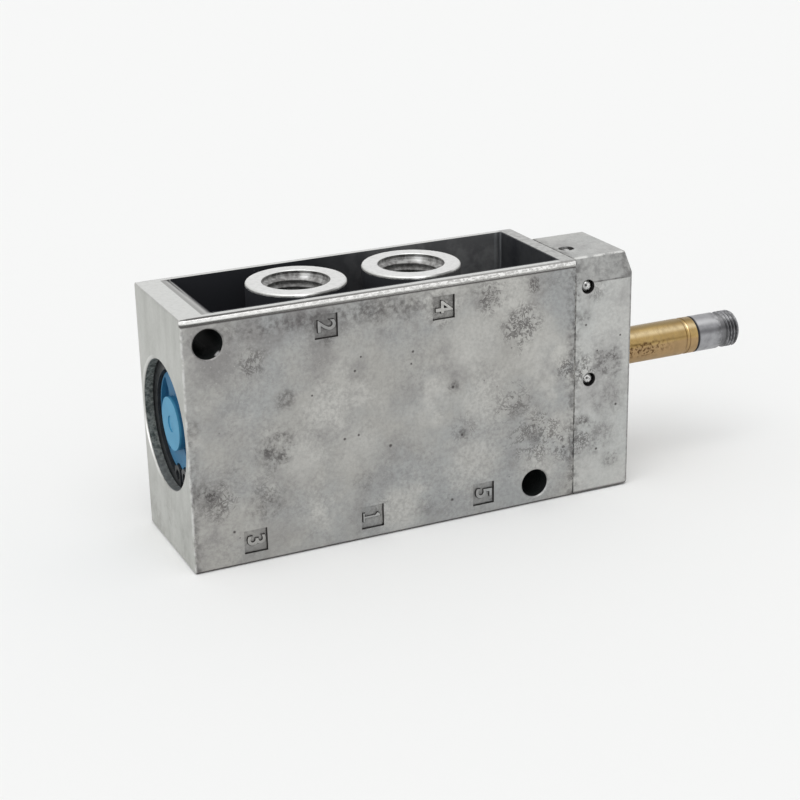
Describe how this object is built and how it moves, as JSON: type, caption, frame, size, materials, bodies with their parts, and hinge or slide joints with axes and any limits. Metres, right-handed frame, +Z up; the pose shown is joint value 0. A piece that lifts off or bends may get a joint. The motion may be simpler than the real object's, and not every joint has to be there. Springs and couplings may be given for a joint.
{
  "type": "pneumatic solenoid valve",
  "caption": "Pneumatic solenoid valve: slab-shaped die-cast body with threaded air ports, blue end cap, screwed-on pilot head and armature tube for a slide-on coil.",
  "frame": {"origin": "centre of the mouth of port 1, on the base face", "axes": "+X along the spool towards the armature tube, +Z up from the base to the top ports, +Y to the back"},
  "size_m": [0.1284, 0.0278, 0.0501],
  "materials": {
    "body_casting": "as-cast aluminium, mottled dark stains, machined bright rims and bosses",
    "head_casting": "as-cast aluminium, lightly stained",
    "gasket": "black fibre-rubber sheet",
    "screw_steel": "zinc-plated steel",
    "cap_plastic": "blue moulded plastic",
    "ring_steel": "blackened spring steel",
    "spring_steel": "bright spring steel",
    "spool_aluminium": "hard anodised, smooth",
    "ball_steel": "polished ball",
    "brass": "turned brass",
    "tube_brass": "drawn brass with brown spots",
    "black_ring": "black ring",
    "core_steel": "turned steel",
    "cage_plastic": "natural acetal",
    "rubber": "black nitrile rubber"
  },
  "bodies": {
    "valve": {"valve_body": "body_casting", "pilot_head": "head_casting", "head_gasket": "gasket", "head_screws": "screw_steel", "end_cap": "cap_plastic", "end_cap_oring": "rubber", "circlip": "ring_steel", "return_spring": "spring_steel", "end_cage": "cage_plastic", "spacer_cage_1": "cage_plastic", "spacer_cage_2": "cage_plastic", "spacer_cage_3": "cage_plastic", "spacer_cage_4": "cage_plastic", "spool_seal_1": "rubber", "spool_seal_2": "rubber", "spool_seal_3": "rubber", "spool_seal_4": "rubber", "spool_seal_5": "rubber", "ball_plugs": "ball_steel", "pilot_nozzle": "brass", "guide_tube": "tube_brass", "tube_oring": "rubber", "tube_nut": "brass", "core_ring": "black_ring", "fixed_core": "core_steel", "armature_spring": "spring_steel"},
    "spool_set": {"spool": "spool_aluminium", "pilot_piston": "spool_aluminium", "piston_seal": "rubber"},
    "armature_set": {"armature": "core_steel", "armature_seat_seal": "rubber", "armature_exhaust_seal": "rubber"},
    "override": {"override_screw": "brass", "override_oring": "rubber"}
  },
  "joints": [
    {"name": "spool_slide", "type": "slide", "parent": "valve", "child": "spool_set", "axis": [-1, 0, 0], "range_m": [0, 0.005], "stiffness_N_per_m": 1800, "springref_m": -0.006, "deforming": ["return_spring"]},
    {"name": "armature_slide", "type": "slide", "parent": "valve", "child": "armature_set", "axis": [1, 0, 0], "range_m": [0, 0.001], "stiffness_N_per_m": 900, "springref_m": -0.0015, "deforming": ["armature_spring"]},
    {"name": "override_turn", "type": "hinge", "parent": "valve", "child": "override", "pos_m": [0.05, 0.00887, 0.04512], "axis": [0, 0.7071, 0.7071], "range_deg": [0, 90]}
  ]
}
